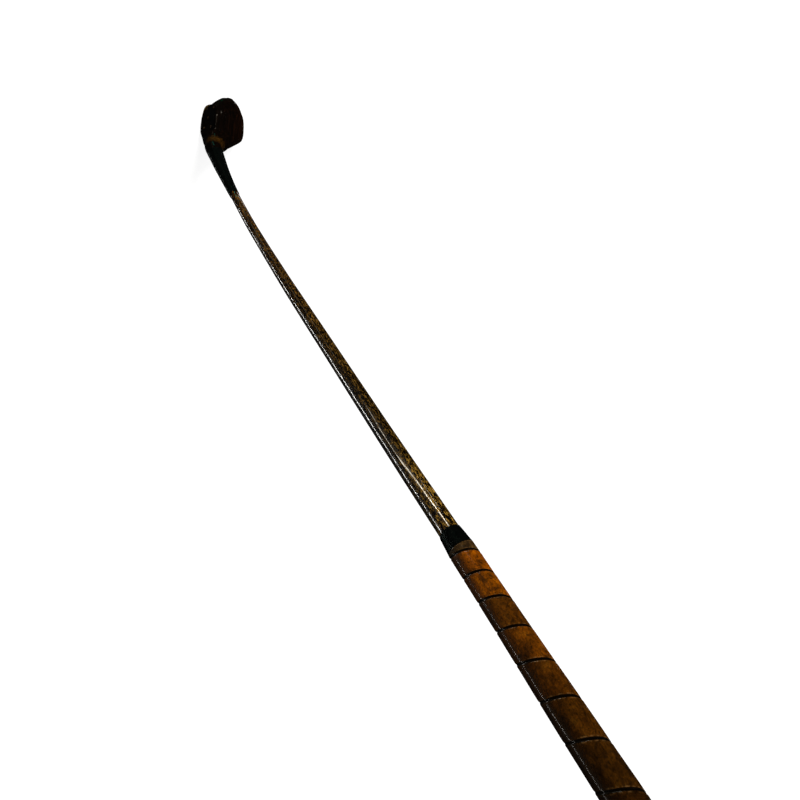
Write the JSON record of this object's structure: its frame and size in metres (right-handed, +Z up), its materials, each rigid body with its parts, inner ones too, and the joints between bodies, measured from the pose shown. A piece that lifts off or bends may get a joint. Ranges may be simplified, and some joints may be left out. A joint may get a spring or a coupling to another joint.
{
  "type": "hickory-shafted wooden golf club",
  "caption": "Old wooden golf club: carved wood head with inserted face and brass sole, thread-wound neck, long bowed hickory shaft and spiral leather grip.",
  "frame": {"origin": "on the ground under the middle of the sole plate, the club standing in its address position", "axes": "+Z up out of the ground, +Y from heel to toe, the hitting face looks along -X, the shaft rises at the lie angle towards -Y and +Z"},
  "size_m": [0.0765, 0.6663, 0.911],
  "materials": {
    "head_wood": "dark stained and varnished, worn",
    "face_fibre": "dark vulcanised fibre, satin",
    "brass": "old, dull and scratched",
    "lead": "dull grey lead",
    "hickory": "golden brown, dark streaked grain, varnished",
    "tarred_thread": "black waxed thread, glossy",
    "listing": "woven cloth strip, dark with age",
    "grip_leather": "tan calf, mottled and darkened by handling"
  },
  "bodies": {
    "root": {"head_block": "head_wood", "face_insert": "face_fibre", "face_insert_screws": "brass", "sole_plate": "brass", "sole_plate_screws": "brass", "lead_back_weight": "lead", "shaft": "hickory", "neck_whipping": "tarred_thread", "grip_underlisting": "listing", "grip_leather_strip": "grip_leather", "lower_grip_whipping": "tarred_thread", "butt_whipping": "tarred_thread", "grip_tacks": "brass"}
  },
  "joints": []
}
